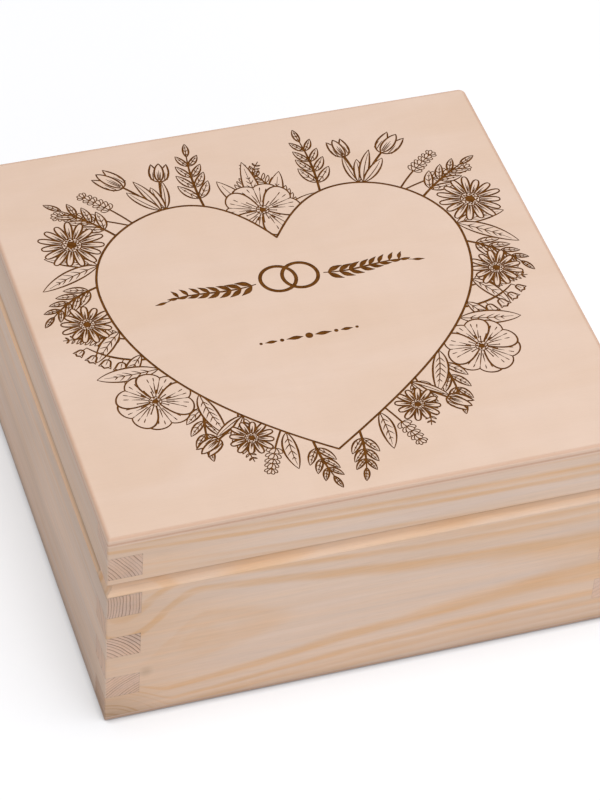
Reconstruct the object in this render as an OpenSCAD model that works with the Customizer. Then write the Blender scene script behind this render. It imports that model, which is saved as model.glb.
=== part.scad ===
// Square pine keepsake box with comb-jointed corners and a hinged lid.
// Origin: middle of the underside. X runs to the right, Y to the back, Z up. All sizes in mm.

/* [Box] */
// Outside width, left to right
box_w = 220; // [160:1:320]
// Outside depth, front to back
box_d = 220; // [160:1:320]
// Height of the walls as glued up, before the lid is sawn off
wall_h = 100.4; // [90:0.1:160]
// Thickness of the pine boards
board_t = 14; // [13:0.5:20]
// Thickness of the plywood bottom
bottom_t = 2.3; // [2:0.1:6]
// Thickness of the plywood top
top_t = 4; // [3:0.1:8]

/* [Comb joints] */
// Height of one finger
finger_h = 11.75; // [7:0.05:20]

/* [Saw cut] */
// Height of the body's rim above the table
rim_z = 76.65; // [55:0.05:80]
// Width of the saw cut that frees the lid
kerf = 1.6; // [1:0.1:3]
// Width of the 45 degree bevel on each side of the cut
bevel = 3.75; // [1:0.05:4.5]

/* [Edges] */
// Radius of the two upright corners at the front
front_corner_r = 0.8; // [0.5:0.1:6]
// Radius of the two upright corners at the back
back_corner_r = 3; // [0.5:0.1:6]
// Radius round the upper edge of the top
top_edge_r = 1.2; // [0.5:0.1:2.8]
// Radius round the lower edge of the bottom
foot_edge_r = 1.2; // [0.4:0.1:1.8]

/* [Hinges] */
// Distance from the middle of a hinge to the side of the box
hinge_inset = 45; // [38:1:55]
// Length of a hinge
hinge_l = 25; // [20:0.5:38]
// Width of a leaf, from the axis of the pin
leaf_w = 10.5; // [9.5:0.1:12]
// Thickness of the brass sheet
leaf_t = 0.9; // [0.6:0.05:1.2]
// Depth of a leaf's face below the rim
leaf_sink = 0.1; // [0.05:0.05:0.3]
// How far the axis of the pin stands out from the back
axis_out = 0.2; // [0.1:0.05:1]
// Diameter of the pin
pin_d = 2; // [1.6:0.1:2.4]
// Clearance round the pin
pin_gap = 0.04; // [0.02:0.01:0.1]
// Diameter of the pin's riveted heads
pin_head_d = 3; // [2.8:0.1:3.6]
// Height of the pin's riveted heads
pin_head_h = 0.6; // [0.3:0.1:1.2]
// Number of knuckles on a hinge
knuckles = 5; // [3:2:7]
// Gap between two knuckles
knuckle_gap = 0.15; // [0.1:0.05:0.3]
// Gap round a leaf in its seat
seat_gap = 0.1; // [0.05:0.05:0.3]

/* [Screws] */
// Screws in each leaf
screws_per_leaf = 2; // [1:1:2]
// Distance between the screws of a leaf
screw_pitch = 14; // [6:0.5:15]
// Diameter of a screw's shank
screw_d = 2; // [1.6:0.1:2.2]
// Diameter of a screw's head
screw_head_d = 3.8; // [3.2:0.1:4]
// Length of a screw
screw_l = 9; // [6:0.5:14]
// Length of a screw's point
screw_point_l = 2.5; // [1:0.1:4]
// Width of the slot in a screw's head
slot_w = 0.5; // [0.3:0.1:0.8]
// Depth of the slot in a screw's head
slot_h = 0.35; // [0.2:0.05:0.5]
// Gap round a screw in its holes
screw_gap = 0.05; // [0.02:0.01:0.1]

/* [Hidden] */
$fn = 48;
frame_top = bottom_t + wall_h - kerf;
finger_count = ceil(wall_h / finger_h);
axis_y = box_d / 2 + axis_out;
bore_r = pin_d / 2 + pin_gap;
knuckle_r = bore_r + leaf_t;
knuckle_l = (hinge_l - (knuckles - 1) * knuckle_gap) / knuckles;
knuckle_step = knuckle_l + knuckle_gap;
knuckle_room = 2 * knuckle_gap;
// The line of screws runs along the middle of the flat rim that a leaf covers
screw_y = -(leaf_w + bevel + axis_out) / 2;
// Which fingers and which knuckles a piece owns
EVEN = 0;
ODD = 1;
BELOW = -1;
ABOVE = 1;
PINE = [0.83, 0.71, 0.6];
PLYWOOD = [0.92, 0.8, 0.7];
BRASS = [0.8, 0.64, 0.33];

// Plan of the box, with its upright corners rounded
module plan() {
    corners = [[-1, front_corner_r], [1, back_corner_r]];
    difference() {
        square([box_w, box_d], center = true);
        for (x = [-1, 1], corner = corners)
            translate([x * box_w / 2, corner[0] * box_d / 2])
                square(2 * corner[1], center = true);
    }
    for (x = [-1, 1], corner = corners)
        translate([x * (box_w / 2 - corner[1]), corner[0] * (box_d / 2 - corner[1])])
            circle(corner[1]);
}

// A solid whose section is children(0) across the width and children(1) across the depth
module from_sections() {
    intersection() {
        rotate([90, 0, 0]) linear_extrude(box_d + 1, center = true) children(0);
        rotate([90, 0, 90]) linear_extrude(box_w + 1, center = true) children(1);
        linear_extrude(frame_top + top_t + 1) plan();
    }
}

// Section of the walls between the rim, where the outer edges are bevelled, and the far side
module wall_section(span, far) {
    half = span / 2;
    bevel_z = rim_z + bevel * sign(far - rim_z);
    polygon([
        [bevel - half, rim_z], [half - bevel, rim_z], [half, bevel_z],
        [half, far], [-half, far], [-half, bevel_z]
    ]);
}

// Section of a panel from its glued face at height 0 up to its outer face, which has rounded edges
module panel_section(span, thick, edge_r) {
    translate([-span / 2, 0]) square([span, thick - edge_r]);
    translate([edge_r - span / 2, 0]) square([span - 2 * edge_r, thick]);
    for (x = [-1, 1])
        translate([x * (span / 2 - edge_r), thick - edge_r])
            circle(edge_r);
}

module below_the_saw() {
    color(PINE) intersection() {
        from_sections() {
            wall_section(box_w, bottom_t);
            wall_section(box_d, bottom_t);
        }
        children();
    }
}

module above_the_saw() {
    color(PINE) intersection() {
        from_sections() {
            wall_section(box_w, frame_top);
            wall_section(box_d, frame_top);
        }
        translate([0, 0, -kerf]) children();
    }
}

// A full-height board along X with its outer face at y = 0 and comb fingers at both ends
module comb_board(length, own) {
    difference() {
        translate([-length / 2, 0, bottom_t]) cube([length, board_t, wall_h]);
        for (i = [0 : finger_count - 1], x = [-1, 1])
            if (i % 2 != own)
                translate([x * (length - board_t) / 2, board_t / 2, bottom_t + (i + 0.5) * finger_h])
                    cube([board_t, board_t, finger_h], center = true);
    }
}

module front_blank() {
    translate([0, -box_d / 2, 0]) comb_board(box_w, EVEN);
}

module left_blank() {
    translate([-box_w / 2, 0, 0]) rotate([0, 0, -90]) comb_board(box_d, ODD);
}

module back_blank() {
    mirror([0, 1, 0]) front_blank();
}

module right_blank() {
    mirror([1, 0, 0]) left_blank();
}

// Moves a piece drawn about the middle of a pin's axis to the left or the right hinge
module at_hinge(side) {
    translate([side * (box_w / 2 - hinge_inset), axis_y, rim_z]) children();
}

module at_screws() {
    for (i = [0 : screws_per_leaf - 1])
        translate([(i - (screws_per_leaf - 1) / 2) * screw_pitch, screw_y, 0])
            children();
}

// What both rims lose for the hinges: the seats of the leaves, room for the knuckles and the screw holes
module hinge_cuts() {
    seat_h = 2 * (leaf_sink + leaf_t);
    seat_w = leaf_w + seat_gap + knuckle_r;
    for (side = [-1, 1]) at_hinge(side) {
        translate([0, knuckle_r - seat_w / 2, 0])
            cube([hinge_l + 2 * seat_gap, seat_w, seat_h], center = true);
        rotate([0, 90, 0])
            cylinder(r = knuckle_r + knuckle_room, h = hinge_l + 4 * pin_head_h, center = true);
        at_screws()
            cylinder(r = screw_d / 2 + screw_gap, h = 2 * (screw_l + leaf_sink + screw_gap), center = true);
    }
}

module front_board() {
    below_the_saw() front_blank();
}

module left_board() {
    below_the_saw() left_blank();
}

module right_board() {
    below_the_saw() right_blank();
}

module back_board() {
    color(PINE) difference() {
        below_the_saw() back_blank();
        hinge_cuts();
    }
}

module lid_front_rail() {
    above_the_saw() front_blank();
}

module lid_left_rail() {
    above_the_saw() left_blank();
}

module lid_right_rail() {
    above_the_saw() right_blank();
}

module lid_back_rail() {
    color(PINE) difference() {
        above_the_saw() back_blank();
        hinge_cuts();
    }
}

module lid_top_panel() {
    color(PLYWOOD) from_sections() {
        translate([0, frame_top]) panel_section(box_w, top_t, top_edge_r);
        translate([0, frame_top]) panel_section(box_d, top_t, top_edge_r);
    }
}

module bottom_panel() {
    color(PLYWOOD) translate([0, 0, bottom_t]) mirror([0, 0, 1]) from_sections() {
        panel_section(box_w, bottom_t, foot_edge_r);
        panel_section(box_d, bottom_t, foot_edge_r);
    }
}

function knuckle_x(i) = i * knuckle_step - hinge_l / 2;

// One leaf, with its knuckles about the X axis, on the given side of the rim
module leaf(place, own) {
    color(BRASS) difference() {
        union() {
            difference() {
                mirror([0, 0, place == BELOW ? 1 : 0])
                    translate([-hinge_l / 2, -leaf_w, leaf_sink])
                        cube([hinge_l, leaf_w - bore_r - leaf_t / 2, leaf_t]);
                for (i = [0 : knuckles - 1])
                    if (i % 2 != own)
                        translate([knuckle_x(i) - knuckle_gap, -knuckle_r - knuckle_room, -knuckle_r])
                            cube([knuckle_step + knuckle_gap, knuckle_r + knuckle_room, 2 * knuckle_r]);
            }
            for (i = [own : 2 : knuckles - 1])
                translate([knuckle_x(i), 0, 0]) rotate([0, 90, 0])
                    cylinder(r = knuckle_r, h = knuckle_l);
        }
        rotate([0, 90, 0]) cylinder(r = bore_r, h = hinge_l + 1, center = true);
        at_screws() mirror([0, 0, place == BELOW ? 0 : 1])
            translate([0, 0, -leaf_sink]) screw_form(screw_gap);
    }
}

// A countersunk screw with its head at z = 0 and its point down, grown by a gap
module screw_form(gap) {
    shank_r = screw_d / 2 + gap;
    head_r = screw_head_d / 2 + gap;
    translate([0, 0, -(head_r - shank_r)])
        cylinder(r1 = shank_r, r2 = head_r, h = head_r - shank_r);
    translate([0, 0, screw_point_l - screw_l])
        cylinder(r = shank_r, h = screw_l - screw_point_l - (head_r - shank_r));
    translate([0, 0, -screw_l])
        cylinder(r1 = 0, r2 = shank_r, h = screw_point_l);
}

module screw() {
    difference() {
        screw_form(0);
        translate([0, 0, -slot_h / 2])
            cube([screw_head_d + 1, slot_w, slot_h], center = true);
    }
}

module screws(place) {
    color(BRASS) for (side = [-1, 1])
        at_hinge(side) at_screws()
            mirror([0, 0, place == BELOW ? 0 : 1])
                translate([0, 0, -leaf_sink]) screw();
}

// The pin, riveted over at both ends
module pin() {
    color(BRASS) rotate([0, 90, 0]) {
        cylinder(d = pin_d, h = hinge_l + pin_head_h, center = true);
        for (end = [0, 1])
            mirror([0, 0, end]) translate([0, 0, hinge_l / 2 + pin_gap])
                cylinder(d1 = pin_head_d, d2 = pin_d, h = pin_head_h);
    }
}

front_board();
back_board();
left_board();
right_board();
bottom_panel();
lid_front_rail();
lid_back_rail();
lid_left_rail();
lid_right_rail();
lid_top_panel();
at_hinge(-1) leaf(BELOW, EVEN);  // left_hinge_body_leaf
at_hinge(-1) leaf(ABOVE, ODD);  // left_hinge_lid_leaf
at_hinge(-1) pin();  // left_hinge_pin
at_hinge(1) leaf(BELOW, EVEN);  // right_hinge_body_leaf
at_hinge(1) leaf(ABOVE, ODD);  // right_hinge_lid_leaf
at_hinge(1) pin();  // right_hinge_pin
screws(BELOW);  // body_hinge_screws
screws(ABOVE);  // lid_hinge_screws
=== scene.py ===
import cmath
import math

import bpy
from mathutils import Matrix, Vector
from mathutils.geometry import delaunay_2d_cdt


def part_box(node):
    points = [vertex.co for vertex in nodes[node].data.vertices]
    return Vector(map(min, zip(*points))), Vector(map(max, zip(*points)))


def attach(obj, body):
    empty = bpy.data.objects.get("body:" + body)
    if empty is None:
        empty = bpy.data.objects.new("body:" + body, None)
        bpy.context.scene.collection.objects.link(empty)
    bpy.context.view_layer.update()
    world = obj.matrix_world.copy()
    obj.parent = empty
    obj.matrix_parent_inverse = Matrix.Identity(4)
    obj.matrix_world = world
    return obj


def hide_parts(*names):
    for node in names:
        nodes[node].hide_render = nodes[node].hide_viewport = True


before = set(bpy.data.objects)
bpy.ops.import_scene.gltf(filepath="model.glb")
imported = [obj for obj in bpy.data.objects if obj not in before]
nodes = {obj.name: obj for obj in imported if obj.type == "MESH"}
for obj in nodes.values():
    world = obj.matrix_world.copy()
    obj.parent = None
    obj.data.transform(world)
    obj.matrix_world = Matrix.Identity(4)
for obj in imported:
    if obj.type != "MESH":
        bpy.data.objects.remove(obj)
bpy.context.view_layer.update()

MM = 0.001

# Places that the materials need, in mm, read from the frame
LID_LOW, LID_HIGH = (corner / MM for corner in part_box("lid_top_panel"))
BODY_LOW, BODY_HIGH = (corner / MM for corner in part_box("front_board"))
HALF_WIDTH = BODY_HIGH.x
TOP_Z = LID_HIGH.z
FRAME_TOP = LID_LOW.z
RIM_Z = BODY_HIGH.z
BOTTOM_T = BODY_LOW.z

# Sizes of the part that the frame does not say, in mm
BOARD_T = 14.0
FINGER_H = 11.75
KERF = 1.6
BEVEL = 3.75


def srgb(red, green, blue):
    """An sRGB colour from 0 to 255 as the linear colour that a shader takes."""

    def linear(c):
        c /= 255
        return c / 12.92 if c <= 0.04045 else ((c + 0.055) / 1.055) ** 2.4

    return (linear(red), linear(green), linear(blue), 1.0)


class Graph:
    """A material's nodes, made by short calls that each return the socket to go on from."""

    def __init__(self, name):
        self.material = bpy.data.materials.new(name)
        self.material.use_nodes = True
        self.tree = self.material.node_tree
        self.shader = self.tree.nodes["Principled BSDF"]

    def feed(self, socket, value):
        if isinstance(value, bpy.types.NodeSocket):
            self.tree.links.new(value, socket)
        elif value is not None:
            socket.default_value = value

    def node(self, kind, **settings):
        made = self.tree.nodes.new(kind)
        for name, value in settings.items():
            setattr(made, name, value)
        return made

    def math(self, operation, a, b=None, c=None, clamp=False):
        made = self.node("ShaderNodeMath", operation=operation, use_clamp=clamp)
        for socket, value in zip(made.inputs, (a, b, c)):
            self.feed(socket, value)
        return made.outputs[0]

    def add(self, a, b):
        return self.math("ADD", a, b)

    def times(self, a, b):
        return self.math("MULTIPLY", a, b)

    def above(self, value, limit):
        return self.math("GREATER_THAN", value, limit)

    def absolute(self, value):
        return self.math("ABSOLUTE", value)

    def apart(self, a, b):
        """How far apart two numbers are."""
        return self.absolute(self.math("SUBTRACT", a, b))

    def vector(self, x, y, z):
        made = self.node("ShaderNodeCombineXYZ")
        for socket, value in zip(made.inputs, (x, y, z)):
            self.feed(socket, value)
        return made.outputs[0]

    def scaled(self, place, rates):
        """A place for a noise: x, y and z, each times its rate."""
        return self.vector(*[self.times(value, rate) for value, rate in zip(place, rates)])

    def length(self, vector):
        made = self.node("ShaderNodeVectorMath", operation="LENGTH")
        self.feed(made.inputs[0], vector)
        return made.outputs["Value"]

    def split(self, vector):
        made = self.node("ShaderNodeSeparateXYZ")
        self.feed(made.inputs[0], vector)
        return made.outputs

    def coordinates(self):
        """Places on the object as it stands at rest, in mm, as x, y and z."""
        place = self.node("ShaderNodeTexCoord").outputs["Object"]
        scale = self.node("ShaderNodeVectorMath", operation="SCALE")
        self.feed(scale.inputs[0], place)
        scale.inputs["Scale"].default_value = 1 / MM
        return self.split(scale.outputs[0])

    def facing(self):
        """The surface's own direction as x, y and z, which turns with the piece."""
        return self.split(self.node("ShaderNodeTexCoord").outputs["Normal"])

    def noise(self, vector, scale=1.0, detail=2.0, roughness=0.5, distortion=0.0):
        made = self.node("ShaderNodeTexNoise")
        self.feed(made.inputs["Vector"], vector)
        made.inputs["Scale"].default_value = scale
        made.inputs["Detail"].default_value = detail
        made.inputs["Roughness"].default_value = roughness
        made.inputs["Distortion"].default_value = distortion
        return made.outputs["Fac"]

    def chance(self, value):
        """A random number from 0 to 1 that is the same wherever value is the same."""
        made = self.node("ShaderNodeTexWhiteNoise", noise_dimensions="1D")
        self.feed(made.inputs["W"], value)
        return made.outputs["Value"]

    def span(self, value, low, high, to_low=0.0, to_high=1.0, smooth=False):
        made = self.node("ShaderNodeMapRange")
        made.interpolation_type = "SMOOTHSTEP" if smooth else "LINEAR"
        for socket, number in zip(made.inputs, (value, low, high, to_low, to_high)):
            self.feed(socket, number)
        return made.outputs[0]

    def profile(self, value, stops):
        """value carried through a curve of straight pieces between the stops (place, height)."""
        made = self.node("ShaderNodeValToRGB")
        made.color_ramp.elements.remove(made.color_ramp.elements[1])
        made.color_ramp.elements[0].position = stops[0][0]
        made.color_ramp.elements[0].color = (stops[0][1],) * 3 + (1,)
        for place, height in stops[1:]:
            made.color_ramp.elements.new(place).color = (height,) * 3 + (1,)
        self.feed(made.inputs[0], value)
        return made.outputs[0]

    def mix(self, factor, a, b, blend="MIX"):
        made = self.node("ShaderNodeMix", data_type="RGBA", blend_type=blend)
        self.feed(made.inputs[0], factor)
        self.feed(made.inputs[6], a)
        self.feed(made.inputs[7], b)
        return made.outputs[2]

    def filtered(self, colour, by):
        return self.mix(1.0, colour, by, "MULTIPLY")

    def tint(self, colour, brightness):
        """colour made lighter or darker by a number near 1."""
        return self.filtered(colour, self.vector(brightness, brightness, brightness))

    def shades(self, *spans):
        """A brightness from spans, each as (value, low, high, brightness at low, brightness at high)."""
        light = 1.0
        for span in spans:
            light = self.times(light, self.span(*span))
        return light

    def openness(self, reach):
        """1 where nothing stands within reach mm of the surface, and less beside what does."""
        made = self.node("ShaderNodeAmbientOcclusion", samples=12)
        made.inputs["Distance"].default_value = reach * MM
        return made.outputs["AO"]

    def by_height(self, z, first, rest):
        """first below the lowest limit, then each value above its limit, for rest as (limit, value)."""
        result, before = first, first
        for limit, value in rest:
            step = self.times(self.above(z, limit), value - before)
            result = self.add(result, step)
            before = value
        return result

    def finish(self, colour, roughness, height=None, distance=0.1, rounding=0.3):
        """Links the shader. height is a relief in mm times distance, over edges rounded by rounding mm."""
        self.feed(self.shader.inputs["Base Color"], colour)
        self.feed(self.shader.inputs["Roughness"], roughness)
        normal = None
        if rounding:
            edges = self.node("ShaderNodeBevel", samples=6)
            self.feed(edges.inputs["Radius"], self.times(rounding, MM))
            normal = edges.outputs[0]
        if height is not None:
            bump = self.node("ShaderNodeBump")
            bump.inputs["Distance"].default_value = distance * MM
            self.feed(bump.inputs["Height"], height)
            self.feed(bump.inputs["Normal"], normal)
            normal = bump.outputs[0]
        self.feed(self.shader.inputs["Normal"], normal)
        return self.material


# Pine: its earlywood and latewood on the faces and on the boards' ends
PINE_EARLY = srgb(228, 203, 186)
PINE_LATE = srgb(224, 181, 140)
PINE_END_EARLY = srgb(226, 193, 172)
PINE_END_LATE = srgb(120, 82, 60)
WARM, COOL = (1.025, 0.99, 0.945, 1.0), (0.985, 1.0, 1.035, 1.0)  # tints that come and go over a face
KNOT = (0.8, 0.745, 0.66, 1.0)
JOINT, JOINT_W = 0.86, 0.16  # how bright and how wide a joint's line is
# Painted shade: the boards darken towards the floor, most just above the bottom panel
FOOT_SHADE_TOP = 18.0  # height up to which the boards darken towards the foot
FOOT_SHADE_LINE = 3.5  # how far above the bottom panel they are darkest
EASED, SHARP = 0.8, 0.25  # radius of the edges that were eased by hand, and of the others

# Painted light and shade on the bevel along the seam: a painted highlight where it faces up, and painted shade
# where it goes in towards the seam. How bright it is from the face to the seam, times the factor just below
BEVEL_PAINTED_LIGHT = 1.25
BEVEL_PAINTED_SHADING = (
    (0.0, 0.85), (0.1, 0.89), (0.25, 0.94), (0.45, 0.98), (0.54, 0.97), (0.58, 0.92), (0.7, 0.93), (0.82, 0.88),
    (0.9, 0.78), (0.95, 0.58), (1.0, 0.45),
)
BEVEL_WARM = (0.97, 0.99, 0.985, 1.0)
# On the left side the bevel is more golden, with more painted shade where it goes in under the lid
LEFT_BEVEL_PAINTED_SHADING = (
    (0.0, 1.04), (0.15, 1.0), (0.27, 0.86), (0.38, 0.64), (0.48, 0.6), (0.6, 0.76), (0.88, 0.78), (0.95, 0.58),
    (1.0, 0.45),
)
LEFT_BEVEL_WARM = (1.07, 1.0, 0.87, 1.0)

# How dark the wood is through one ring, from its inner to its outer side, on a face and on an end
FACE_RING = ((0.0, 0.0), (0.35, 0.05), (0.75, 0.7), (0.9, 1.0), (1.0, 0.1))
END_RING = ((0.0, 0.0), (0.6, 0.05), (0.84, 0.45), (0.94, 1.0), (1.0, 0.0))
# The rings that the front shows: how dark the wood is at a distance in mm from their middle
FRONT_RINGS = (
    (31.0, 0.45), (33.6, 0.45), (34.3, 0.75), (34.9, 0.45), (36.6, 0.7), (37.2, 0.5), (38.6, 0.6), (39.6, 0.16),
    (43.6, 0.06), (44.6, 0.9), (45.8, 1.0), (46.7, 0.2), (48.4, 0.14), (49.4, 0.85), (50.2, 0.9), (50.8, 0.25),
    (53.0, 0.8), (53.9, 0.3), (55.8, 0.65), (56.5, 0.2), (58.6, 0.75), (59.5, 0.06), (64.6, 0.03), (65.6, 0.95),
    (66.6, 0.9), (67.3, 0.05), (69.4, 0.95), (70.7, 0.1), (73.4, 0.2), (75.0, 1.0), (76.2, 0.2), (82.0, 0.6),
)


def comb_lines(g, length, depth, z, end):
    """1 on a comb joint's fine lines: between the fingers, and where a finger's end meets the other board."""
    from_end = g.math("SUBTRACT", HALF_WIDTH, g.absolute(length))
    glued_z = g.add(z, g.times(g.above(z, RIM_Z), KERF))
    finger = g.math("DIVIDE", g.math("SUBTRACT", glued_z, BOTTOM_T), FINGER_H)
    to_row = g.times(g.apart(finger, g.math("ROUND", finger)), FINGER_H)
    row = g.times(g.above(JOINT_W, to_row), g.above(BOARD_T, from_end))
    column = g.times(end, g.above(depth, BOARD_T - JOINT_W))
    return g.math("MAXIMUM", row, column)


def painted_bevel_light(g, colour, z, nz, tones, warm):
    """colour with painted light and shade on the bevels along the seam, on the body and the lid alike: a
    painted highlight where they face up, and painted shade towards the seam.
    """
    slant = g.span(g.apart(g.absolute(nz), 0.7), 0.15, 0.1)
    to_seam = g.span(g.apart(z, RIM_Z), BEVEL, 0.0)
    light = g.times(g.profile(to_seam, tones), BEVEL_PAINTED_LIGHT)
    return g.mix(slant, colour, g.filtered(g.tint(colour, light), warm))


def round_knots(g, length, z, radius, knots):
    """radius pushed outwards round the knots, and how dark they make each place."""
    knot = 0.0
    for place, height, size, push, dark in knots:
        from_knot = g.length(g.vector(g.add(length, -place), g.add(z, -height), 0.0))
        near = g.span(from_knot, size, 0.0, smooth=True)
        radius = g.math("MULTIPLY_ADD", near, push, radius)
        knot = g.math("MAXIMUM", g.times(near, dark), knot)
    return radius, knot


def listed_rings(g, rings, radius, length, patches, comes):
    """How dark the wood is with rings as listed, and with resin towards the board's left end."""
    near, far = rings[0][0], rings[-1][0]
    stops = [((place - near) / (far - near), dark) for place, dark in rings]
    shown = g.profile(g.span(radius, near, far), stops)
    shown = g.times(shown, g.math("MULTIPLY_ADD", comes, 0.5, 0.5))
    resin = g.span(g.math("MULTIPLY_ADD", patches, 40.0, length), -70.0, -10.0, 0.4, 0.0)
    return g.math("MAXIMUM", shown, resin)


def pine(name, along, side, seed, strips, own_rings=(), knots=(), bow=0.0, bow_at=0.0, late=1.0,
         bands=(0.03, 0.11), tones=(1.0, 1.0), bevel_shading=BEVEL_PAINTED_SHADING, bevel_warm=BEVEL_WARM):
    """Pine sawn along one axis, cut from the same rings through the body and the lid.

    side is -1 for the front or left board and 1 for the back or right one. Each of strips is glued
    into the board, as (its lower edge, depth and height of the middle of the rings, their spacing,
    how strong they show on the board's ends), with depth measured in from the outer face. The
    middle of the rings bows away by bow per mm squared from bow_at. late says how strong the rings
    show on the faces, where own_rings take the place of even ones. The rings turn round the knots,
    each as (its place along and up, its reach, how far it pushes the rings, how dark it is). bands
    says how strong broad bands are and how many a mm of height holds, and tones how bright the wood
    is at the board's two ends.
    """
    g = Graph(name)
    x, y, z = g.coordinates()
    length, across = (x, y) if along == "x" else (y, x)
    depth = g.math("SUBTRACT", HALF_WIDTH, g.times(across, side))

    def strip_value(column):
        return g.by_height(z, strips[0][column], [(strip[0], strip[column]) for strip in strips[1:]])

    offset = g.math("POWER", g.apart(length, bow_at), 2.0)
    pith_depth = g.math("MULTIPLY_ADD", offset, bow, strip_value(1))
    pith_z = strip_value(2)
    from_pith = g.length(g.vector(g.math("SUBTRACT", depth, pith_depth), g.math("SUBTRACT", z, pith_z), 0.0))

    def stretched(per_length, per_depth, per_height, shift=0.0):
        """A place in a noise that is drawn out along the grain."""
        up = g.math("MULTIPLY_ADD", z, per_height, shift)
        return g.vector(g.times(length, per_length), g.times(depth, per_depth), up)

    wander = g.noise(stretched(0.008, 0.015, 0.02, seed))
    ripple = g.noise(stretched(0.035, 0.1, 0.12, seed))
    radius = g.math("MULTIPLY_ADD", g.math("SUBTRACT", wander, 0.5), 2.0, from_pith)
    radius = g.math("MULTIPLY_ADD", g.math("SUBTRACT", ripple, 0.5), 1.0, radius)
    radius, knot = round_knots(g, length, z, radius, knots)
    uneven = g.noise(g.vector(g.times(radius, 0.12), seed, 0.0), 1.0, 1)
    rings = g.math("MULTIPLY_ADD", uneven, 1.6, g.math("DIVIDE", radius, strip_value(3)))
    through = g.math("FRACT", rings)
    strength = g.span(g.chance(g.add(g.math("FLOOR", rings), seed)), 0.0, 1.0, 0.3, 1.0)

    # Latewood comes and goes along a ring, in soft patches drawn out along the grain
    patches = g.noise(stretched(0.025, 0.1, 0.16, seed), 1.0, 3)
    comes = g.span(patches, 0.35, 0.62, 0.35, 1.0)
    if own_rings:
        face_rings = listed_rings(g, own_rings, radius, length, patches, comes)
    else:
        face_rings = g.times(g.profile(through, FACE_RING), g.times(strength, comes))
    end_rings = g.times(g.profile(through, END_RING), strength)

    fibre = g.noise(stretched(0.05, 1.9, 1.9), 1.0, 3, 0.65)
    threads = g.noise(stretched(0.018, 0.7, 0.7), 1.0, 3, 0.6)
    hairs = g.span(g.noise(stretched(0.12, 5.0, 5.0)), 0.54, 0.72)
    clouds = g.noise(stretched(0.012, 0.05, 0.05, seed))
    broad = g.noise(stretched(0.004, 0.05, bands[1], 7 * seed), 1.0, 3, 0.6)
    hue = g.noise(stretched(0.006, 0.1, 0.2, 3 * seed))
    speckle = g.noise(stretched(3.0, 3.0, 3.0))

    nx, ny, nz = g.facing()
    end = g.span(g.absolute(nx if along == "x" else ny), 0.85, 0.95)
    face_colour = g.mix(g.times(face_rings, late), PINE_EARLY, PINE_LATE)
    end_colour = g.mix(g.math("MULTIPLY", end_rings, strip_value(4), clamp=True), PINE_END_EARLY, PINE_END_LATE)
    colour = g.mix(end, face_colour, end_colour)
    colour = g.filtered(colour, g.mix(g.span(hue, 0.35, 0.65), WARM, COOL))
    colour = g.mix(knot, colour, g.filtered(colour, KNOT))
    light = g.shades(
        (fibre, 0.3, 0.7, 0.975, 1.025),
        (threads, 0.3, 0.7, 0.97, 1.03),
        (clouds, 0.3, 0.7, 0.975, 1.025),
        (broad, 0.35, 0.65, 1 - bands[0], 1 + bands[0]),
        (hairs, 0.0, 1.0, 1.0, 0.93),
        (g.times(knot, face_rings), 0.0, 0.6, 1.0, 0.78),
        # painted shade towards the floor
        (z, BOTTOM_T, FOOT_SHADE_TOP, 0.95, 1.0),
        (z, BOTTOM_T, BOTTOM_T + FOOT_SHADE_LINE, 0.86, 1.0),
        (length, -HALF_WIDTH, HALF_WIDTH, *tones),
        (comb_lines(g, length, depth, z, end), 0.0, 1.0, 1.0, JOINT),
    )
    light = g.times(light, g.math("MULTIPLY_ADD", end, g.span(speckle, 0.3, 0.7, -0.07, 0.07), 1.0))
    # Painted light and shade on the bevels along the seam
    colour = painted_bevel_light(g, g.tint(colour, light), z, nz, bevel_shading, bevel_warm)

    # The saw's sharp edges were eased by hand where the body's bevel meets the face
    rounding = g.span(g.apart(z, RIM_Z - BEVEL), 2.2, 2.8, EASED, SHARP)
    roughness = g.span(face_rings, 0.0, 1.0, 0.68, 0.55)
    relief = g.add(g.times(fibre, 0.5), g.times(face_rings, 0.25))
    return g.finish(colour, roughness, relief, distance=0.12, rounding=rounding)


# Birch plywood: the face veneer, the layers that show in its edge, and the face where it is burnt
BIRCH = srgb(232, 204, 185)
BIRCH_SHADE = srgb(228, 198, 176)
BIRCH_CORE = srgb(213, 173, 149)
BIRCH_RIM = (0.86, 0.765, 0.705, 1.0)
BURNT = srgb(118, 72, 25)
SCORCHED = srgb(96, 55, 14)
CHAR = srgb(76, 42, 8)
# How dark a layer's edge is, from the glued face to the outer one
PLY_LAYERS = (
    (0.0, 0.5), (0.04, 0.15), (0.2, 0.1), (0.28, 1.0), (0.44, 1.0), (0.54, 0.25), (0.8, 0.1), (1.0, 0.2)
)


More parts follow.
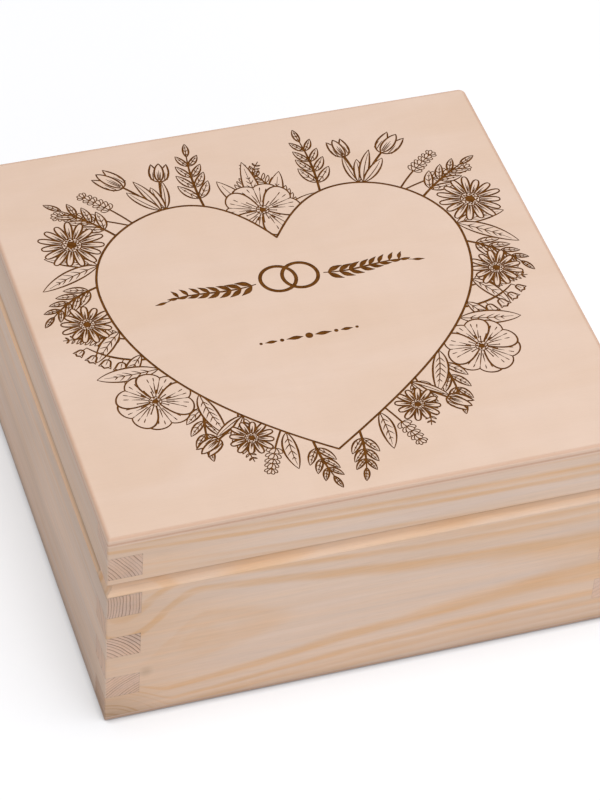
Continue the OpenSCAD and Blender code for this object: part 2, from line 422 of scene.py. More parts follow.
def birch(name, glued, face, edge_tone):
    """Birch plywood whose grain runs along X, between the heights in mm of its glued and its outer face.

    edge_tone is how bright its edge is at the outer face, where less than 1 paints shade on it.
    """
    g = Graph(name)
    x, y, z = g.coordinates()
    figure = g.noise(g.scaled((x, y, 0.0), (0.012, 0.035, 1.0)), 1.0, 3, 0.55, 0.6)
    curl = g.noise(g.scaled((x, y, 3.0), (0.09, 0.03, 1.0)), 1.0, 2)
    grain = g.noise(g.scaled((x, y, z), (0.06, 1.6, 1.0)), 1.0, 3, 0.6)
    pores = g.noise(g.scaled((x, y, z), (0.45, 6.0, 1.0)), 1.0, 1)
    colour = g.mix(g.span(figure, 0.35, 0.65), BIRCH, BIRCH_SHADE)
    light = g.shades(
        (curl, 0.35, 0.65, 0.992, 1.008), (grain, 0.3, 0.7, 0.99, 1.01), (pores, 0.62, 0.75, 1.0, 0.96)
    )
    colour = g.tint(colour, light)

    _, _, nz = g.facing()
    edge = g.span(g.absolute(nz), 0.97, 0.4)
    layer = g.profile(g.span(z, glued, face), PLY_LAYERS)
    ends = g.noise(g.scaled((x, y, z), (0.5, 0.5, 2.5)), 1.0, 2)
    core = g.tint(BIRCH_CORE, g.span(ends, 0.3, 0.7, 0.93, 1.07))
    colour = g.mix(g.times(layer, edge), colour, core)
    # Painted shade on the edge, darker towards its outer face as far as edge_tone says
    painted_edge_shade = g.span(g.span(z, glued, face), 0.0, 1.0, 0.4 + 0.6 * edge_tone, edge_tone)
    colour = g.tint(colour, g.math("MULTIPLY_ADD", edge, g.add(painted_edge_shade, -1.0), 1.0))

    # The face is darker and warmer along its rim, next to the rounded edge
    to_side = g.math("MAXIMUM", g.absolute(x), g.absolute(y))
    rim = g.span(to_side, HALF_WIDTH - 2.1, HALF_WIDTH - 0.7, smooth=True)
    rim = g.times(rim, g.span(g.apart(z, face), 0.8, 0.3))
    colour = g.mix(rim, colour, g.filtered(colour, BIRCH_RIM))
    return g.finish(colour, 0.6, grain, distance=0.05, rounding=0)


def burnt_birch():
    """The engraving: its floor brown, and darker here and there, and its walls charred."""
    g = Graph("birch_burnt")
    place = g.coordinates()
    char = g.noise(g.scaled(place, (0.35, 0.35, 1.0)), 1.0, 3)
    soot = g.noise(g.scaled(place, (4.0, 4.0, 4.0)), 1.0, 2)
    _, _, nz = g.facing()
    colour = g.mix(g.span(char, 0.4, 0.65), BURNT, SCORCHED)
    colour = g.mix(g.above(0.5, nz), colour, CHAR)
    colour = g.tint(colour, g.span(soot, 0.3, 0.7, 0.85, 1.15))
    g.shader.inputs["Specular IOR Level"].default_value = 0.08
    return g.finish(colour, 0.9, soot, distance=0.08, rounding=0)


# Brass: the leaves, and the brighter pins and screws
LEAF_BRASS, LEAF_BRASS_DULL = srgb(208, 180, 118), srgb(186, 154, 94)
PIN_BRASS, PIN_BRASS_DULL = srgb(226, 202, 146), srgb(206, 176, 114)


def brass(name, pale, dull, low, high):
    """Brass with a fine brushed grain along X, its roughness from low to high."""
    g = Graph(name)
    place = g.coordinates()
    brushed = g.noise(g.scaled(place, (0.25, 9.0, 9.0)), 1.0, 2)
    stain = g.noise(g.scaled(place, (0.12, 0.12, 0.12)), 1.0, 3)
    colour = g.mix(g.span(stain, 0.35, 0.7), pale, dull)
    g.shader.inputs["Metallic"].default_value = 1.0
    return g.finish(colour, g.span(brushed, 0.3, 0.7, low, high), brushed, distance=0.02, rounding=0.15)


# The engraving is drawn in mm on the lid as seen from above. A point is a complex number, x + y j.
OUTLINE, FINE, STEM, HEART_LINE = 0.85, 0.48, 1.1, 1.05  # widths of the strokes
SWELLS, THINS = 0.35, 0.45  # the share of a stroke in which it swells at its start, and thins at its end
ENGRAVED = 0.22  # depth
STEP = 0.6  # between the points of a stroke as it is drawn
SLACK = 0.035  # how far a stroke may leave the drawn line once its spare points are gone
GOLDEN_ANGLE = 137.5


def polar(length, angle):
    return cmath.rect(length, math.radians(angle))


def bezier(a, b, c, d):
    count = max(3, math.ceil((abs(b - a) + abs(c - b) + abs(d - c)) / STEP))
    points = []
    for i in range(count + 1):
        t = i / count
        u = 1 - t
        points.append(u ** 3 * a + 3 * u * u * t * b + 3 * u * t * t * c + t ** 3 * d)
    return points


def chain(*curves):
    """One line through several Bezier curves."""
    points = []
    for curve in curves:
        points += bezier(*curve)[bool(points):]
    return points


def sweep(start, angle, length, bend=0.0, more=0.0):
    """A curve that sets out at angle and turns by bend, and ever faster by more, in degrees."""
    count = max(3, math.ceil(length / STEP))
    points = [start]
    for i in range(count):
        t = (i + 0.5) / count
        points.append(points[-1] + polar(length / count, angle + bend * t + more * t ** 3))
    return points


def pair(shape):
    """shape(side) for the upper side and the lower side of a motif."""
    return [shape(side) for side in (1, -1)]


def closed(sides):
    return sides[0] + sides[1][::-1]


def inside(spot, region):
    found = False
    for a, b in zip(region, region[1:] + region[:1]):
        if (a.imag > spot.imag) != (b.imag > spot.imag):
            if spot.real < a.real + (b - a).real * (spot.imag - a.imag) / (b - a).imag:
                found = not found
    return found


class Pen:
    """Draws strokes, and wipes what a later motif covers. Motifs are drawn in a frame of their own."""

    def __init__(self):
        self.strokes = []
        self.frames = [(0, 1, False)]

    def move(self, place, angle=0.0, mirrored=False):
        """Sets the frame on the lid that the next motifs are drawn in."""
        self.frames = [(place, polar(1, angle), mirrored)]

    def lay(self, points):
        for place, turn, mirrored in reversed(self.frames):
            if mirrored:
                points = [p.conjugate() for p in points]
            points = [place + turn * p for p in points]
        return points

    def at(self, place, angle):
        """A frame inside the present one, for a with statement."""
        self.frames.append((place, polar(1, angle), False))
        return self

    def __enter__(self):
        return self

    def __exit__(self, *error):
        self.frames.pop()

    def line(self, points, width, start=0.5, end=0.4):
        """A stroke that swells from its start and thins towards its end."""
        last = len(points) - 1
        widths = []
        for i in range(last + 1):
            t = i / last
            swell = start + (1 - start) * t / SWELLS
            thin = end + (1 - end) * (1 - t) / THINS
            widths.append(width * min(1.0, swell, thin))
        self.strokes.append((self.lay(points), widths))

    def lines(self, sides, width, start=0.7, end=0.7):
        for side in sides:
            self.line(side, width, start, end)

    def dot(self, centre, radius):
        self.strokes.append((self.lay([centre]), [2 * radius]))

    def wipe(self, region):
        """Takes away what was drawn inside region."""
        region = self.lay(region)
        left, right = min(p.real for p in region), max(p.real for p in region)
        low, high = min(p.imag for p in region), max(p.imag for p in region)
        kept = []
        for points, widths in self.strokes:
            shortest = min(2, len(points))
            run = []
            for spot, width in zip(points, widths):
                near = left < spot.real < right and low < spot.imag < high
                if near and inside(spot, region):
                    if len(run) >= shortest:
                        kept.append(run)
                    run = []
                else:
                    run.append((spot, width))
            if len(run) >= shortest:
                kept.append(run)
        self.strokes = [tuple(zip(*run)) for run in kept]


def leaf(pen, base, angle, length, width, curl=0.12, veins=4):
    """A pointed leaf with its midrib and side veins."""
    rise = curl * length
    tip = complex(length, rise)
    half = 0.62 * width
    upper = bezier(0, complex(0.22 * length, half), complex(0.7 * length, half + 0.6 * rise), tip)
    lower = bezier(0, complex(0.3 * length, -half), complex(0.85 * length, 0.5 * rise - 0.35 * width), tip)
    rib = bezier(0, 0.3 * length, complex(0.6 * length, 0.3 * rise), 0.88 * tip)
    with pen.at(base, angle):
        pen.wipe(closed((upper, lower)))
        pen.lines((upper, lower), OUTLINE, 0.5, 0.4)
        pen.line(rib, FINE, 1.2, 0.4)
        for i in range(veins):
            t = 0.2 + 0.58 * i / max(1, veins - 1)
            room = width * 0.5 * math.sin(math.pi * min(1, t + 0.08))
            for side in (1, -1):
                pen.line(sweep(rib[int(t * (len(rib) - 1))], 42 * side, room, -14 * side), FINE, 0.9, 0.3)


def petal(pen, base, angle, length, width, hatches=5, notch=0.12):
    """A broad petal with a notched rim and fine strokes from its foot and from its rim."""
    sides = pair(lambda s: chain(
        (0, complex(0.18 * length, 0.16 * width * s), complex(0.42 * length, 0.58 * width * s),
         complex(0.78 * length, 0.5 * width * s)),
        (complex(0.78 * length, 0.5 * width * s), complex(0.96 * length, 0.45 * width * s),
         complex(1.06 * length, 0.16 * width * s), (1 - notch) * length),
    ))
    with pen.at(base, angle):
        pen.wipe(closed(sides))
        pen.lines(sides, OUTLINE)
        for i in range(hatches):
            lean = 2 * i / (hatches - 1) - 1
            reach = length * (0.32 + 0.1 * (7 * i % 3))
            pen.line(sweep(polar(0.3 * length, 16 * lean), 24 * lean, reach, 6 * lean), FINE, 0.9, 0.3)
            rim = polar(length * (0.9 - 0.07 * abs(lean)), 23 * lean)
            pen.line(sweep(rim, 180 + 30 * lean, 0.14 * length), FINE, 0.9, 0.3)


def flower_middle(pen, centre, radius, rows):
    """The head in the middle of a flower: a dark heart, and dots round it in a sunflower's order."""
    arcs = pair(lambda s: [centre + polar(radius, 12 * s * i) for i in range(16)])
    pen.wipe(closed(arcs))
    pen.lines(arcs, FINE, 1, 1)
    pen.dot(centre, 0.52 * radius)
    count = 4 * rows * rows
    for i in range(count // 3, count):
        spot = centre + polar(0.9 * radius * math.sqrt((i + 0.5) / count), GOLDEN_ANGLE * i)
        pen.dot(spot, 0.75 * radius / math.sqrt(count))


def rose(pen, centre, radius, turn=0.0):
    """A wild rose: five notched petals that overlap, and a ring of stamens."""
    for i in range(5):
        petal(pen, centre, turn + 72 * i, radius, 1.18 * radius)
    flower_middle(pen, centre, 0.17 * radius, 2)
    stamens = 17
    for i in range(stamens):
        angle = turn + 360 / stamens * i
        reach = radius * (0.36 + 0.06 * (i % 3))
        pen.line([centre + polar(0.2 * radius, angle), centre + polar(reach, angle)], FINE, 1, 1)
        pen.dot(centre + polar(reach, angle), 0.38)


def daisy(pen, centre, radius, turn=0.0, petals=14):
    """A daisy: narrow petals round a broad head."""
    for i in range(petals):
        length = radius * (1 - 0.05 * (i % 3))
        width = 2.5 * radius / petals
        sides = pair(lambda s: bezier(
            0, complex(0.45 * length, 0.7 * width * s), complex(1.02 * length, 0.95 * width * s), length
        ))
        with pen.at(centre, turn + 360 / petals * i):
            pen.wipe(closed(sides))
            pen.lines(sides, OUTLINE)
            pen.line(sweep(0.32 * length, 4, 0.42 * length, -6), FINE, 0.9, 0.3)
            pen.line(sweep(complex(0.34 * length, -0.1 * width), -7, 0.26 * length, 4), FINE, 0.9, 0.3)
    flower_middle(pen, centre, 0.29 * radius, 3)


def tulip(pen, base, angle, length, lean=12):
    """A tulip on its stem, with two long leaves."""
    stem = sweep(base, angle, 0.62 * length, lean)
    pen.line(stem, STEM, 1, 0.9)
    leaf(pen, base, angle + 16, 0.62 * length, 0.15 * length, -0.12, 0)
    leaf(pen, base, angle - 20, 0.52 * length, 0.14 * length, 0.16, 0)
    tall, wide = 0.4 * length, 0.29 * length
    with pen.at(stem[-1], angle + lean):
        for s in (1, -1):
            shoulder = complex(0.98 * tall, 0.4 * wide * s)
            dip = complex(0.84 * tall, 0.24 * wide * s)
            outer = chain(
                (0, complex(-0.02 * tall, 0.42 * wide * s), complex(0.4 * tall, 0.66 * wide * s), shoulder),
                (shoulder, dip, complex(0.6 * tall, 0.1 * wide * s), 0.36 * tall),
            )
            pen.wipe(outer)
            pen.line(outer, OUTLINE, 0.8, 0.6)
            for i in range(1, 4):
                foot = complex(0.12 * tall, 0.14 * wide * i * s)
                pen.line(sweep(foot, (12 - 2 * i) * s, (0.58 - 0.08 * i) * tall, -8 * s), FINE, 0.9, 0.3)
        middle = pair(lambda s: bezier(
            0, complex(0.2 * tall, 0.34 * wide * s), complex(0.8 * tall, 0.3 * wide * s), 1.02 * tall
        ))
        pen.wipe(closed(middle))
        pen.lines(middle, OUTLINE)
        for i in (-1, 0, 1):
            foot = complex(0.1 * tall, 0.05 * wide * i)
            pen.line(sweep(foot, 5 * i, (0.55 - 0.1 * abs(i)) * tall, -3 * i), FINE, 0.9, 0.3)


def along(stem, angle, bend, share):
    """The point at a share of a stem's length, and the way that the stem goes there."""
    return stem[int(share * (len(stem) - 1))], angle + bend * share


def laurel(pen, base, angle, length, bend=20, pairs=4, leaf_length=12, leaf_width=4.8):
    """A sprig with leaves in pairs and one at its tip."""
    stem = sweep(base, angle, length, bend)
    pen.line(stem, STEM, 1, 0.5)
    for i in range(pairs):
        share = (i + 0.8) / (pairs + 0.6)
        foot, way = along(stem, angle, bend, share)
        size = 1.05 - 0.45 * share
        for s in (1, -1):
            leaf(pen, foot, way + 42 * s, size * leaf_length, size * leaf_width * s, -0.13 * s, 3)
    leaf(pen, stem[-1], angle + bend, 0.7 * leaf_length, 0.6 * leaf_width, 0.0, 3)


def fern(pen, base, angle, length, bend=25, pairs=11, widest=7.5):
    """A fern frond with plain leaflets that shorten to its tip."""
    stem = sweep(base, angle, length, bend)
    pen.line(stem, OUTLINE, 1.1, 0.5)
    for i in range(pairs):
        share = (i + 1.2) / (pairs + 1.2)
        foot, way = along(stem, angle, bend, share)
        size = widest * (1 - 0.82 * share ** 1.3) * (0.62 + 0.38 * min(1, 4 * share))
        for s in (1, -1):
            with pen.at(foot, way + 58 * s):
                pen.lines(pair(lambda e: bezier(
                    0, complex(0.35 * size, 0.2 * size * e), complex(0.8 * size, 0.16 * size * e),
                    complex(size, -0.1 * size * s)
                )), FINE, 0.9, 0.9)


def lavender(pen, base, angle, length, bend=15, rows=6, bud=2.2):
    """A lavender ear: rows of small buds at the end of a bare stem."""
    stem = sweep(base, angle, length, bend)
    pen.line(stem, OUTLINE, 1.2, 0.8)
    for i in range(rows):
        share = 0.48 + 0.5 * i / (rows - 1)
        foot, way = along(stem, angle, bend, share)
        size = bud * (1.4 - 0.5 * share)
        sides = pair(lambda s: bezier(
            0, complex(0.5 * size, 0.55 * size * s), complex(1.3 * size, 0.5 * size * s), 1.5 * size
        ))
        for turn in (-58, 58, -22, 22):
            with pen.at(foot, way + turn):
                pen.wipe(closed(sides))
                pen.lines(sides, FINE, 0.9, 0.9)


def bells(pen, base, angle, length, bend=50, count=4, size=4.6):
    """An arching stem hung with small bell flowers."""
    stem = sweep(base, angle, length, bend)
    pen.line(stem, STEM, 1, 0.5)
    for i in range(count):
        share = 0.38 + 0.62 * i / (count - 1)
        foot, way = along(stem, angle, bend, share)
        stalk = sweep(foot, way - 70, 2.2, -20)
        pen.line(stalk, FINE, 1, 1)
        deep = size * (1.1 - 0.4 * share)
        lip = complex(deep, 0.58 * deep)
        half = chain(
            (0, 0.5j * deep, complex(0.55 * deep, 0.28 * deep), lip),
            (lip, complex(0.82 * deep, 0.32 * deep), complex(0.95 * deep, 0.28 * deep), 1.12 * deep),
        )
        halves = [half, [p.conjugate() for p in half]]
        with pen.at(stalk[-1], way - 90):
            pen.wipe(closed(halves))
            pen.lines(halves, OUTLINE, 0.9, 0.9)
            pen.line([0.2 * deep, 0.7 * deep], FINE, 1, 0.4)


def small_leaf(pen, base, angle, length, width, bend=0):
    """A small leaf burnt all over: one stroke that swells in its middle."""
    pen.line(sweep(base, angle, length, bend), width, 0.15, 0.05)


# The heart's two halves, each from its notch to its point
HEART_NOTCH = 2.2 + 37.2j
HEART_POINT = -10.6 - 85.6j
LEFT_HALF = chain(
    (HEART_NOTCH, -3.6 + 48.1j, -14.8 + 65.5j, -33.1 + 65.5j),
    (-33.1 + 65.5j, -54.3 + 65.5j, -77.8 + 47.4j, -77.8 + 19.6j),
    (-77.8 + 19.6j, -77.8 - 22.6j, -48.9 - 57j, HEART_POINT),
)
RIGHT_HALF = chain(
    (HEART_NOTCH, 9 + 46j, 20 + 62.4j, 39 + 62.4j),
    (39 + 62.4j, 60.2 + 62.4j, 78.1 + 43.5j, 78.1 + 21.5j),
    (78.1 + 21.5j, 78.1 - 19.4j, 44.7 - 48.6j, HEART_POINT),
)


# The wreath's motifs, each as (share of the way from notch to point, distance outwards, motif, its settings)
WREATH = (
    (0.085, 0, fern, 60, 36, 20, 13, 8.5),
    (0.15, 0, laurel, 62, 32, 14),
    (0.215, 0, tulip, 98, 28, 12),
    (0.225, 0, tulip, 72, 34, -12),
    (0.29, 0, lavender, 88, 26, -14),
    (0.30, 0, lavender, 62, 31, -14, 7),
    (0.335, 0, laurel, 96, 27, -14, 3),
    (0.42, 0, leaf, 96, 22, 7.5, -0.1, 5),
    (0.42, 0, leaf, 52, 27, 8.5, -0.12, 5),
    (0.47, 0, laurel, 66, 25, -30, 4, 10.5, 4.2),
    (0.60, 0, fern, 128, 25, -20, 10, 7.5),
    (0.58, 0, leaf, 62, 20, 7, -0.12, 4),
    (0.66, 0, bells, 122, 25, 44, 4, 5.0),
    (0.645, 0, leaf, 66, 18, 6.5, -0.14, 4),
    (0.69, 0, leaf, 112, 25, 8.5, 0.1, 5),
    (0.785, 0, laurel, 58, 27, -16, 3),
    (0.775, 0, leaf, 34, 24, 8, -0.12, 5),
    (0.845, 0, fern, 58, 27, -24, 11, 7.5),
    (0.855, 0, tulip, 92, 26, 8),
    (0.915, 0, lavender, 80, 22, -10, 5),
    (0.925, 0, leaf, 58, 20, 7, -0.1, 4),
    (0.965, 0, laurel, 52, 20, -14, 3, 10, 4),
    (0.385, 13.5, daisy, 14, 8, 15),
    (0.735, 14.0, rose, 15, 20),
    (0.545, 10.0, daisy, 11, 0, 13),
    (0.885, 9.0, daisy, 9.5, 5, 12),
)


def draw_wreath(pen):
    """A wreath round the heart, the same on both halves. What stands behind is drawn first."""
    for half, mirrored in ((LEFT_HALF, True), (RIGHT_HALF, False)):
        for share, out, motif, *settings in WREATH:
            i = int(share * (len(half) - 2))
            way = half[i + 1] - half[i]
            outwards = way / abs(way) * (-1j if mirrored else 1j)
            pen.move(half[i] + out * outwards, math.degrees(cmath.phase(way)), mirrored)
            motif(pen, 0, *settings)

    pen.move(1.6 + 50j)
    for s in (1, -1):
        leaf(pen, complex(4 * s, -4), 90 - 62 * s, 25, 8.5 * s, 0.1 * s, 5)
        leaf(pen, 2 * s, 90 - 27 * s, 29, 8 * s, 0.06 * s, 6)
    leaf(pen, 0, 90, 36, 8, 0.0, 7)
    rose(pen, 5j, 16, 90)
    pen.move(0)
    pen.wipe(closed((LEFT_HALF, RIGHT_HALF)))
    pen.lines((LEFT_HALF, RIGHT_HALF), HEART_LINE, 0.9, 0.9)


def draw_middle(pen):
    """Two rings between sprigs, and a row of leaves and dots below them."""
    row, radius = 13j, 7.4
    for x in (-4.7, 4.7):
        pen.move(x + row)
        pen.lines(pair(lambda s: [polar(radius, 5 * s * i) for i in range(37)]), 1.6, 1, 1)
    for turn in (0, 180):
        pen.move(row, turn, turn > 0)
        angle, bend = -12, 50
        stem = sweep(14.5 - 1j, angle, 38, bend, -60)
        pen.line(stem, 1.0)
        leaves = 8
        for i in range(leaves):
            foot, way = along(stem, angle, bend, (i + 0.5) / (leaves + 0.6))
            size = 1.08 - 0.05 * i
            for s in (1, -1):
                small_leaf(pen, foot, way + 46 * s, 7.0 * size, 2.3 * size, -30 * s)
        small_leaf(pen, stem[-1], -14, 5.5, 1.5, 10)
    for turn in (0, 180):
        pen.move(-2.5 - 22j, turn)
        small_leaf(pen, 2.6, 0, 7, 2.1)
        pen.dot(11.4, 0.9)
        small_leaf(pen, 13.4, 0, 5.2, 1.7)
        pen.dot(20.2, 0.7)
    pen.dot(0, 1.6)


def thinned(points, widths):
    """The stroke with only the points that its line and its width need."""
    kept = {0, len(points) - 1}
    spans = [(0, len(points) - 1)]
    while spans:
        a, b = spans.pop()
        chord = points[b] - points[a]
        away = []
        for i in range(a + 1, b):
            offset = points[i] - points[a]
            if abs(chord) > 1e-6:
                offset = (offset / chord).imag * abs(chord)
            width = widths[a] + (widths[b] - widths[a]) * (i - a) / (b - a)
            away.append(max(abs(offset), 0.5 * abs(widths[i] - width)))
        if away and max(away) > SLACK:
            middle = a + 1 + away.index(max(away))
            kept.add(middle)
            spans += [(a, middle), (middle, b)]
    return [(points[i], widths[i]) for i in sorted(kept)]


def border(points, widths):
    """The closed outline of a stroke, with round ends."""
    if len(points) == 1:
        sides = 6 + math.ceil(4 * widths[0])
        return [points[0] + polar(widths[0] / 2, 360 * i / sides) for i in range(sides)]
    stroke = thinned(points, widths)
    ways = [(b[0] - a[0]) / abs(b[0] - a[0]) for a, b in zip(stroke, stroke[1:])]
    left, right = [], []
    for (spot, width), before, after in zip(stroke, ways[:1] + ways, ways + ways[-1:]):
        way = before + after
        way = way / abs(way) if abs(way) > 0.3 else after
        left.append(spot + 0.5j * width * way)
        right.append(spot - 0.5j * width * way)

    def cap(spot, width, way):
        steps = 3 if width > 0.5 else 1
        return [spot + width / 2 * way * polar(1, 180 * (i + 1) / (steps + 1) - 90) for i in range(steps)]

    return right + cap(*stroke[-1], ways[-1]) + left[::-1] + cap(*stroke[0], -ways[0])


# The panel's upper edge and its four corners, each as (side in x, side in y, radius)
EDGE_ROUNDING = 1.2
EDGE_STEPS = 5
CORNERS = ((1, 1, 3.0), (-1, 1, 3.0), (-1, -1, 0.8), (1, -1, 0.8))
CORNER_STEPS = 5


def panel_ring(inset):
    """The panel's outline from above, with its rounded corners, moved in by inset."""
    points = []
    for i, (x, y, radius) in enumerate(CORNERS):
        radius = max(radius, inset + 0.1)
        middle = complex(x * (HALF_WIDTH - radius), y * (HALF_WIDTH - radius))
        for k in range(CORNER_STEPS + 1):
            points.append(middle + polar(radius - inset, 90 * i + 90 * k / CORNER_STEPS))
    return points


# The panel's texture map, as shares of its width: the face, the underside beside it and the edge above it
FACE_SHARE, UNDER_SHARE, UNDER_LEFT = 0.7, 0.28, 0.71
STRIP_LOW, STRIP_PITCH, STRIP_HEIGHT = 0.72, 0.07, 0.06


def on_map(vertices, polygon, share, left):
    """Where a polygon's corners lie on the texture map, for a side that is seen from above."""
    scale = share / (2 * HALF_WIDTH)
    corners = [vertices[i] for i in polygon]
    return [(left + scale * (x / MM + HALF_WIDTH), scale * (y / MM + HALF_WIDTH)) for x, y, _ in corners]


def edge_on_map(steps):
    """Where the edge's quads lie on the texture map: a strip for each of the four sides."""
    outer = panel_ring(0)
    lengths = [FACE_SHARE / (2 * HALF_WIDTH) * abs(b - a) for a, b in zip(outer, outer[1:] + outer[:1])]
    quads = len(outer) // len(CORNERS)
    places = []
    for k in range(steps):
        for i in range(len(outer)):
            left = sum(lengths[i - i % quads:i])
            right = left + lengths[i]
            low = STRIP_LOW + STRIP_PITCH * (i // quads) + STRIP_HEIGHT * k / steps
            high = low + STRIP_HEIGHT / steps
            places += [(left, low), (right, low), (right, high), (left, high)]
    return places


def cut_face(strokes):
    """The panel's face from above, cut along the strokes: points, triangles and which are engraved."""
    outlines = [panel_ring(EDGE_ROUNDING)] + [border(points, widths) for points, widths in strokes]
    flat, faces = [], []
    for outline in outlines:
        faces.append(list(range(len(flat), len(flat) + len(outline))))
        flat += [Vector((p.real, p.imag)) for p in outline]
    inside_only, snap = 1, 1e-4
    flat, _, triangles, _, _, origins = delaunay_2d_cdt(flat, [], faces, inside_only, snap)
    return flat, triangles, [any(face > 0 for face in origin) for origin in origins]


def sunk_face(strokes):
    """The face with its strokes sunk into it: vertices, polygons and the material slot of each polygon."""
    flat, triangles, engraved = cut_face(strokes)
    vertices, polygons, slots = [], [], []
    level = {}

    def vertex(i, sunk):
        """The vertex over a point of the drawing, on the face or on the floor of the engraving."""
        if (i, sunk) not in level:
            level[i, sunk] = len(vertices)
            vertices.append((flat[i].x * MM, flat[i].y * MM, (TOP_Z - ENGRAVED * sunk) * MM))
        return level[i, sunk]

    edges = {}
    for triangle, sunk in zip(triangles, engraved):
        polygons.append([vertex(i, sunk) for i in triangle])
        slots.append(int(sunk))
        for a, b in zip(triangle, triangle[1:] + triangle[:1]):
            edges[a, b] = sunk
    for (a, b), sunk in edges.items():
        if sunk and edges.get((b, a)) is False:
            polygons.append([vertex(b, True), vertex(a, True), vertex(a, False), vertex(b, False)])
            slots.append(1)
    return vertices, polygons, slots


def engraved_panel(strokes):
    """The lid's plywood top with its rounded edge and the strokes sunk into its face."""
    vertices, polygons, slots = sunk_face(strokes)
    places = []
    for polygon in polygons:
        places += on_map(vertices, polygon, FACE_SHARE, 0.0)

    rings = [(0.0, FRAME_TOP)]
    for k in range(EDGE_STEPS + 1):
        angle = math.radians(90 * k / EDGE_STEPS)
        rings.append((EDGE_ROUNDING * (1 - math.cos(angle)), TOP_Z - EDGE_ROUNDING * (1 - math.sin(angle))))
    sides = []
    for inset, z in rings:
        outline = panel_ring(inset)
        sides.append(list(range(len(vertices), len(vertices) + len(outline))))
        vertices += [(p.real * MM, p.imag * MM, z * MM) for p in outline]
    for low, high in zip(sides, sides[1:]):
        for a, b, c, d in zip(low, low[1:] + low[:1], high[1:] + high[:1], high):
            polygons.append([a, b, c, d])
    places += edge_on_map(len(rings) - 1)

    underside = sides[0][::-1]
    polygons.append(underside)
    places += on_map(vertices, underside, UNDER_SHARE, UNDER_LEFT)
    slots += [0] * (len(polygons) - len(slots))

    mesh = bpy.data.meshes.new("lid_top")
    mesh.from_pydata(vertices, [], polygons)
    mesh.uv_layers.new(name="OFBake").data.foreach_set("uv", [number for place in places for number in place])
    mesh.polygons.foreach_set("material_index", slots)
    mesh.validate()
    mesh.update()
    return mesh


def dress(material, *names):
    for name in names:
        mesh = nodes[name].data
        mesh.materials.clear()
        mesh.materials.append(material)


# The front: the swirl round its lower left corner, the bend above that and a pin knot
front_strips = [(0, 44.2, 41, 3.7, 0.4)]
front_knots = (
    (-HALF_WIDTH - 2, -2, 32, 29, 1.0),
    (-HALF_WIDTH + 5, 54, 38, 12.5, 0.15),
    (-HALF_WIDTH + 16.5, 25.5, 4.5, 3, 0.55),
)
front_pine = pine("pine_front", "x", -1, 3.1, front_strips, FRONT_RINGS, front_knots, bow=-0.00024, bow_at=110)
back_pine = pine("pine_back", "x", 1, 11.7, [(0, 40, 55, 3.0, 0.8)], bow=-0.0009, bow_at=-30)

# The sides are glued up of strips, whose ends show at the front
left_strips = [(0, 30, -13, 1.3, 0.9), (29, -14, 22, 1.5, 1.7), (55, -27, 67, 1.3, 1.1)]
left_pine = pine(
    "pine_left", "y", -1, 5.4, left_strips, late=0.8, bands=(0.09, 0.04), tones=(0.89, 1.1),
    bevel_shading=LEFT_BEVEL_PAINTED_SHADING, bevel_warm=LEFT_BEVEL_WARM
)
right_strips = [(0, 26, 60, 2.2, 0.3), (44, -20, 30, 1.9, 0.5)]
right_pine = pine("pine_right", "y", 1, 8.9, right_strips, bow=0.0006, bow_at=25, late=0.8)

dress(front_pine, "front_board", "lid_front_rail")
dress(back_pine, "back_board", "lid_back_rail")
dress(left_pine, "left_board", "lid_left_rail")
dress(right_pine, "right_board", "lid_right_rail")
dress(birch("birch_bottom", BOTTOM_T, 0.0, 0.6), "bottom_panel")
sheet = brass("brass_sheet", LEAF_BRASS, LEAF_BRASS_DULL, 0.3, 0.45)
turned = brass("brass_turned", PIN_BRASS, PIN_BRASS_DULL, 0.18, 0.3)
dress(sheet, *[name for name in nodes if name.endswith("leaf")])
dress(turned, *[name for name in nodes if name.endswith(("pin", "screws"))])

pen = Pen()
draw_wreath(pen)
draw_middle(pen)
lid_top = bpy.data.objects.new("lid_top", engraved_panel(pen.strokes))
bpy.context.scene.collection.objects.link(lid_top)
lid_top.data.materials.append(birch("birch_top", FRAME_TOP, TOP_Z, 1.0))
lid_top.data.materials.append(burnt_birch())
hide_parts("lid_top_panel")
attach(lid_top, "lid")


# The floor: its own colour, the one that the camera sees, and how much it glows to the camera
FLOOR_REACH = 6.0  # m
FLOOR_COLOUR = (0.82, 0.82, 0.82, 1.0)
FLOOR_SEEN = (0.53, 0.535, 0.56, 1.0)
FLOOR_GLOW = 0.54
# Painted shadow: the glow drops near the box, to these values at its foot; at the left side it drops less, as
# painted light on the shadow that falls there
CONTACT_SHADOW_GLOW, LEFT_CONTACT_SHADOW_GLOW = 0.14, 0.36  # at the foot of the box, and at its left side
CONTACT_SHADOW_REACH = 4.0  # mm from the box within which the floor is darkened
NEAR_SHADOW_REACH, NEAR_SHADE = 25.0, 0.08  # mm within which it is a little less white, and by how much
CONTACT_OPEN, NEAR_OPEN = (0.42, 0.85), (0.5, 0.95)  # how open it is for each, at the foot and in the clear

# The light: how strongly the sky lights the box, and where the lamps look, in m
WORLD_STRENGTH = 0.48
AIM = Vector((0, 0, 0.05))


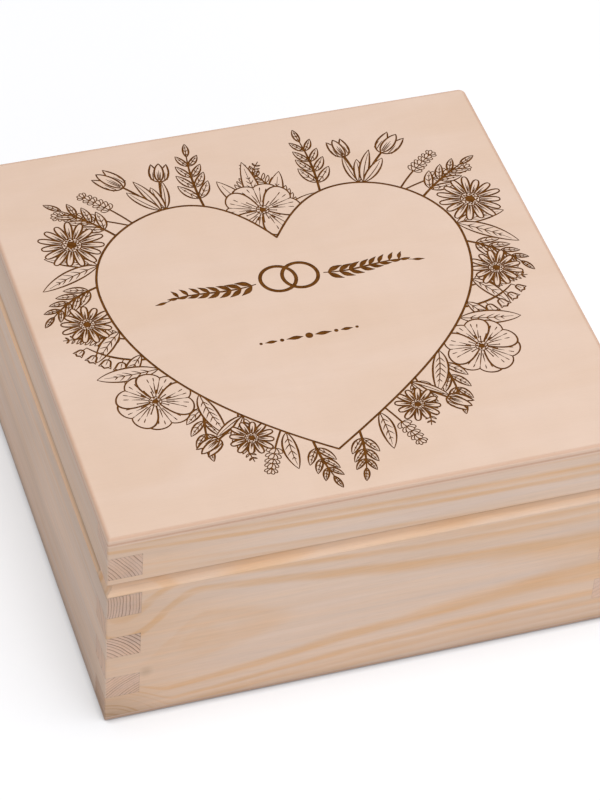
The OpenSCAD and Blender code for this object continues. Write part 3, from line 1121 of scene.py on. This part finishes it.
def make_floor():
    """A plain white floor that keeps the box's shadow and is white to the camera where no shadow falls. Its
    glow to the camera drops near the box as painted shadow, and drops less at the box's left side, as painted
    light on the shadow there.
    """
    mesh = bpy.data.meshes.new("floor")
    corners = [(FLOOR_REACH * x, FLOOR_REACH * y, 0) for x, y in ((-1, -1), (1, -1), (1, 1), (-1, 1))]
    mesh.from_pydata(corners, [], [(0, 1, 2, 3)])
    floor = bpy.data.objects.new("floor", mesh)
    bpy.context.scene.collection.objects.link(floor)
    g = Graph("floor_white_painted_shadow")
    g.shader.inputs["Specular IOR Level"].default_value = 0.0
    g.shader.inputs["Emission Color"].default_value = (1.0, 1.0, 1.0, 1.0)
    seen = g.node("ShaderNodeLightPath").outputs["Is Camera Ray"]
    x, _, _ = g.coordinates()
    # painted shadow: the glow is lowered near the box, less so at its left side
    painted_shadow_glow = g.span(x, -HALF_WIDTH - 0.5, -HALF_WIDTH + 1.5, LEFT_CONTACT_SHADOW_GLOW, CONTACT_SHADOW_GLOW)
    glow = g.span(g.openness(CONTACT_SHADOW_REACH), *CONTACT_OPEN, painted_shadow_glow, FLOOR_GLOW)
    glow = g.add(glow, g.span(g.openness(NEAR_SHADOW_REACH), *NEAR_OPEN, -NEAR_SHADE, 0.0))
    g.feed(g.shader.inputs["Emission Strength"], g.times(seen, glow))
    mesh.materials.append(g.finish(g.mix(seen, FLOOR_COLOUR, FLOOR_SEEN), 0.9, rounding=0))


def make_light(name, place, size, power):
    """A square soft light."""
    lamp = bpy.data.lights.new(name, "AREA")
    lamp.size = size
    lamp.energy = power
    light = bpy.data.objects.new(name, lamp)
    light.location = place
    light.rotation_euler = (AIM - Vector(place)).to_track_quat("-Z", "Y").to_euler()
    light.visible_camera = False
    bpy.context.scene.collection.objects.link(light)


def make_world():
    """An even white sky, which the camera and what mirrors it see brighter than it lights the box."""
    world = bpy.data.worlds.new("studio")
    world.use_nodes = True
    tree = world.node_tree
    ground = tree.nodes["Background"]
    path = tree.nodes.new("ShaderNodeLightPath")
    seen = path.outputs["Is Camera Ray"]
    for ray in ("Is Glossy Ray", "Is Transmission Ray"):
        either = tree.nodes.new("ShaderNodeMath")
        either.operation = "MAXIMUM"
        tree.links.new(seen, either.inputs[0])
        tree.links.new(path.outputs[ray], either.inputs[1])
        seen = either.outputs[0]
    strength = tree.nodes.new("ShaderNodeMapRange")
    strength.inputs["To Min"].default_value = WORLD_STRENGTH
    strength.inputs["To Max"].default_value = 1.0
    tree.links.new(seen, strength.inputs["Value"])
    tree.links.new(strength.outputs[0], ground.inputs["Strength"])
    ground.inputs["Color"].default_value = (1.0, 1.0, 1.0, 1.0)
    bpy.context.scene.world = world


# The photograph's view, fitted to the edges of the box
CAMERA_PLACE = (-0.3420, -0.9254, 1.0231)
CAMERA_TURN = (45.231, -2.978, -17.539)
CAMERA_LENS = 149.6


def make_camera():
    camera = bpy.data.objects.new("camera", bpy.data.cameras.new("camera"))
    camera.data.sensor_width = 36
    camera.data.lens = CAMERA_LENS
    camera.location = CAMERA_PLACE
    camera.rotation_euler = [math.radians(angle) for angle in CAMERA_TURN]
    camera.data.clip_start = 0.05
    camera.data.clip_end = 20
    bpy.context.scene.collection.objects.link(camera)
    bpy.context.scene.camera = camera


make_camera()
make_floor()
make_world()
make_light("key", (0.25, -0.3, 1.7), 1.0, 14)
make_light("fill", (0.35, -1.6, 0.8), 0.9, 4.1)

scene = bpy.context.scene
scene.view_settings.view_transform = "Standard"
